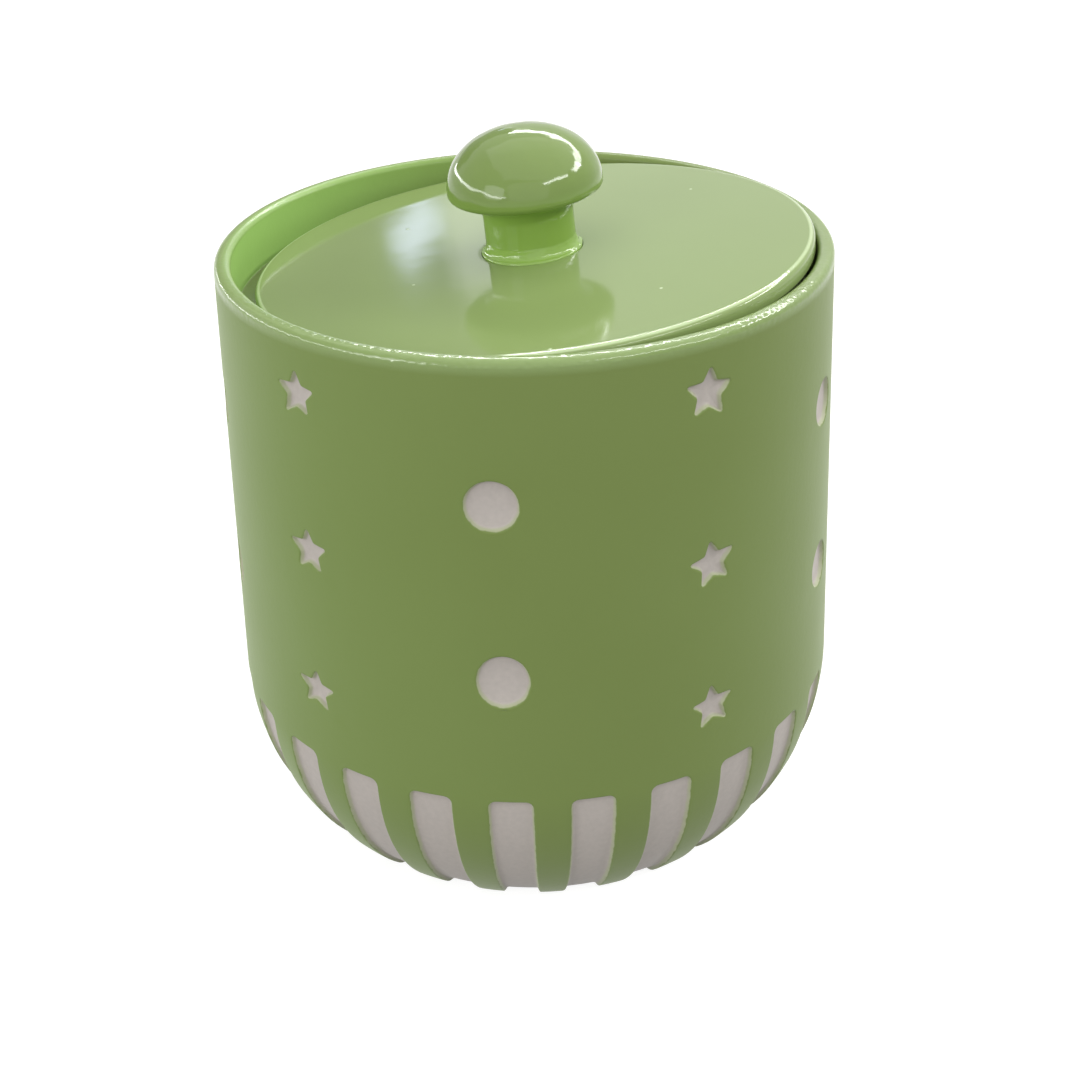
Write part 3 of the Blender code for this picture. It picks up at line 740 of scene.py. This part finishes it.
def paleFloor():
    bm = bmesh.new()
    bmesh.ops.create_circle(bm, cap_ends=True, segments=room["floorSides"], radius=room["floorSize"])
    material = bpy.data.materials.new("mattWhiteStudioFloor")
    material.use_nodes = True
    tree = material.node_tree
    tree.nodes.clear()
    matt = addNode(tree, "ShaderNodeBsdfDiffuse", {"Color": hexColour(room["floor"])})
    lift = addNode(tree, "ShaderNodeEmission", {"Strength": room["whiteLift"]})
    both = addNode(tree, "ShaderNodeAddShader", None, {0: matt.outputs[0], 1: lift.outputs[0]})
    shown = addNode(tree, "ShaderNodeMixShader", None,
                    {0: shareSeen(tree), 1: matt.outputs[0], 2: both.outputs[0]})
    addNode(tree, "ShaderNodeOutputMaterial", None, {"Surface": shown.outputs[0]})
    floor = meshObject("paleFloor", bm, material)


# A dim grey board stands behind on the left, above what the camera sees. The lid mirrors it, so
# its left half is deep in colour, and mirrors the pale room to the right of the board. Metres.
board = {
    "colour": "989896", "roughness": 0.9,
    "back": 1.2, "left": -1.3, "right": -0.13, "bottom": 0.3, "top": 0.8,
}


def dimBoard():
    bm = bmesh.new()
    corners = ((board[side], board["back"], board[end]) for side, end in
               (("left", "bottom"), ("right", "bottom"), ("right", "top"), ("left", "top")))
    bm.faces.new([bm.verts.new(corner) for corner in corners])
    material = bpy.data.materials.new("mattGreyPaintedBoard")
    material.use_nodes = True
    shader = material.node_tree.nodes["Principled BSDF"]
    shader.inputs["Base Color"].default_value = hexColour(board["colour"])
    shader.inputs["Roughness"].default_value = board["roughness"]
    panel = meshObject("dimBoard", bm, material)


def whiteWorld():
    world = bpy.data.worlds.new("whiteStudio")
    bpy.context.scene.world = world
    world.use_nodes = True
    tree = world.node_tree
    tree.nodes.clear()
    colour = hexColour(room["world"])
    light = addNode(tree, "ShaderNodeBackground", {"Color": colour, "Strength": room["worldLight"]})
    white = addNode(tree, "ShaderNodeBackground", {"Color": colour, "Strength": 1.0})
    shown = addNode(tree, "ShaderNodeMixShader", None,
                    {0: shareSeen(tree), 1: light.outputs[0], 2: white.outputs[0]})
    addNode(tree, "ShaderNodeOutputWorld", None, {"Surface": shown.outputs[0]})


# broad dim panels light the jar evenly, narrow bright tubes draw the thin lines on lid and knob:
# place and size in metres, degrees of turn in its own plane, watts, colour
lamps = {
    "ceilingPanel": {"place": (0.2, 0, 1.3), "size": (2.4, 2.4), "power": 16.0, "colour": "FFFFFF"},
    "frontPanel": {"place": (0.2, -2.2, 0.9), "size": (2.6, 1.8), "power": 10.2, "colour": "FFFFFF"},
    "sidePanelLeft": {"place": (-1.1, -1.0, 0.5), "size": (0.7, 0.7), "power": 5.0, "colour": "FFFFFF"},
    "windowRight": {"place": (1.1, 0.19, 0.78), "size": (0.36, 0.16), "power": 3.6, "colour": "FFFFFF"},
    "tubeBackRight": {"place": (0.594, 0.914, 0.9), "size": (1.9, 0.15), "power": 12.5, "colour": "FFFFFF"},
    "tubeFrontRight": {"place": (0.7, -0.55, 0.72), "size": (0.85, 0.08), "power": 3.8, "colour": "FFFFFF"},
    "tubeLeft": {"place": (-0.9, -0.05, 0.27), "size": (3.0, 0.07), "power": 8.0, "colour": "FFFFFF"},
    "windowLeft": {"place": (-0.155, 1.14, 0.441), "size": (0.052, 0.03), "turn": 37, "power": 0.022,
                   "colour": "D3D8FF"},
    "curtainLeft": {"place": (-0.112, 1.14, 0.455), "size": (0.045, 0.08), "power": 0.0105,
                    "colour": "F4F6FF"},
}


def studioLamps():
    for name, lamp in lamps.items():
        data = bpy.data.lights.new(name, "AREA")
        data.shape = "RECTANGLE"
        data.size, data.size_y = lamp["size"]
        data.energy = lamp["power"]
        data.color = hexColour(lamp["colour"])[:3]
        item = bpy.data.objects.new(name, data)
        item.location = lamp["place"]
        facing = (Vector(room["aim"]) - item.location).to_track_quat("-Z", "Y").to_matrix()
        item.rotation_euler = (facing @ Matrix.Rotation(math.radians(lamp.get("turn", 0)), 3, "Z")).to_euler()
        bpy.context.scene.collection.objects.link(item)


# the photograph's view: degrees, and millimetres from the middle of the rim's plane
view = {
    "distance": 277.4, "elevation": 19.36, "yaw": 0.275, "pitch": 10.21, "roll": -1.616,
    "focalPixels": 1677.0, "imagePixels": 1080, "sensor": 36,
}


def photoCamera():
    high, yaw = math.radians(view["elevation"]), math.radians(view["yaw"])
    down, roll = high + math.radians(view["pitch"]), math.radians(view["roll"])
    ahead = Vector((math.sin(yaw) * math.cos(down), math.cos(yaw) * math.cos(down), -math.sin(down)))
    level = ahead.cross(Vector((0, 0, 1))).normalized()
    above = level.cross(ahead)
    right = level * math.cos(roll) + above * math.sin(roll)
    up = above * math.cos(roll) - level * math.sin(roll)
    data = bpy.data.cameras.new("photoCamera")
    data.sensor_width = view["sensor"]
    data.lens = view["focalPixels"] / view["imagePixels"] * view["sensor"]
    camera = bpy.data.objects.new("photoCamera", data)
    spot = Vector((0, -math.cos(high), math.sin(high))) * view["distance"] + Vector((0, 0, jar["height"]))
    turned = Matrix((right, up, -ahead)).transposed().to_4x4()
    camera.matrix_world = Matrix.Translation(spot * millimetre) @ turned
    bpy.context.scene.collection.objects.link(camera)
    bpy.context.scene.camera = camera


jarBody()
lidDisc()
mushroomKnob()
paleFloor()
dimBoard()
whiteWorld()
studioLamps()
photoCamera()
bpy.context.scene.view_settings.view_transform = "Standard"
print("room: floor, world, lamps and camera set")
